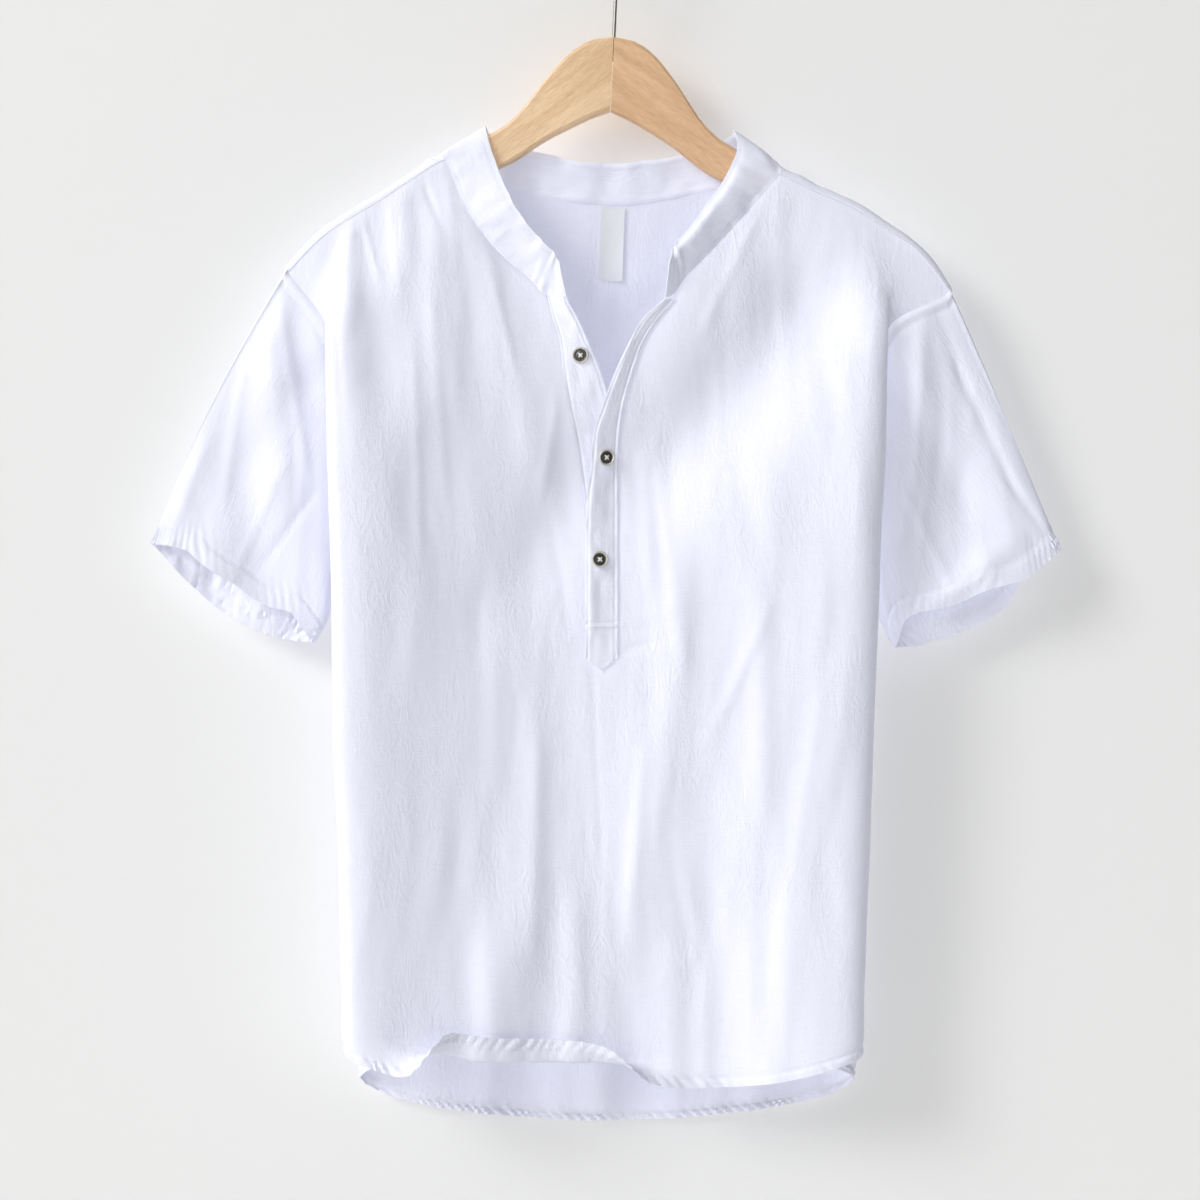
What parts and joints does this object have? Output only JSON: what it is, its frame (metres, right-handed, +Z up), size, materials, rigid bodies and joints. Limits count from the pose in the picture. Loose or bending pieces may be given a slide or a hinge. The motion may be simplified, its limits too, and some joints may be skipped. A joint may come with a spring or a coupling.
{
  "type": "band-collar half-placket short-sleeved linen shirt on a wooden hanger",
  "caption": "Short-sleeved linen shirt with a stand collar, open half placket and curved shirt-tail hem, hung on a contoured wooden hanger with a wire hook.",
  "frame": {"origin": "the point inside the top of the hook's crook that the hanger hangs from", "axes": "+Z up, +X to the right when looking at the shirt's front, +Y from the front to the back"},
  "size_m": [0.696, 0.0869, 0.9249],
  "materials": {
    "linen": "matt, slightly crinkled white linen",
    "button": "semi-gloss, pale horn colour",
    "label": "plain woven satin, nothing on it",
    "wood": "clear satin varnish",
    "steel": "dull drawn wire"
  },
  "bodies": {
    "root": {"front": "linen", "back": "linen", "sleeve_left": "linen", "sleeve_right": "linen", "collar_band": "linen", "placket_over": "linen", "placket_under": "linen", "button_top": "button", "button_middle": "button", "button_bottom": "button", "neck_label": "label", "hanger_arm_left": "wood", "hanger_arm_right": "wood", "hanger_hook": "steel"}
  },
  "joints": []
}
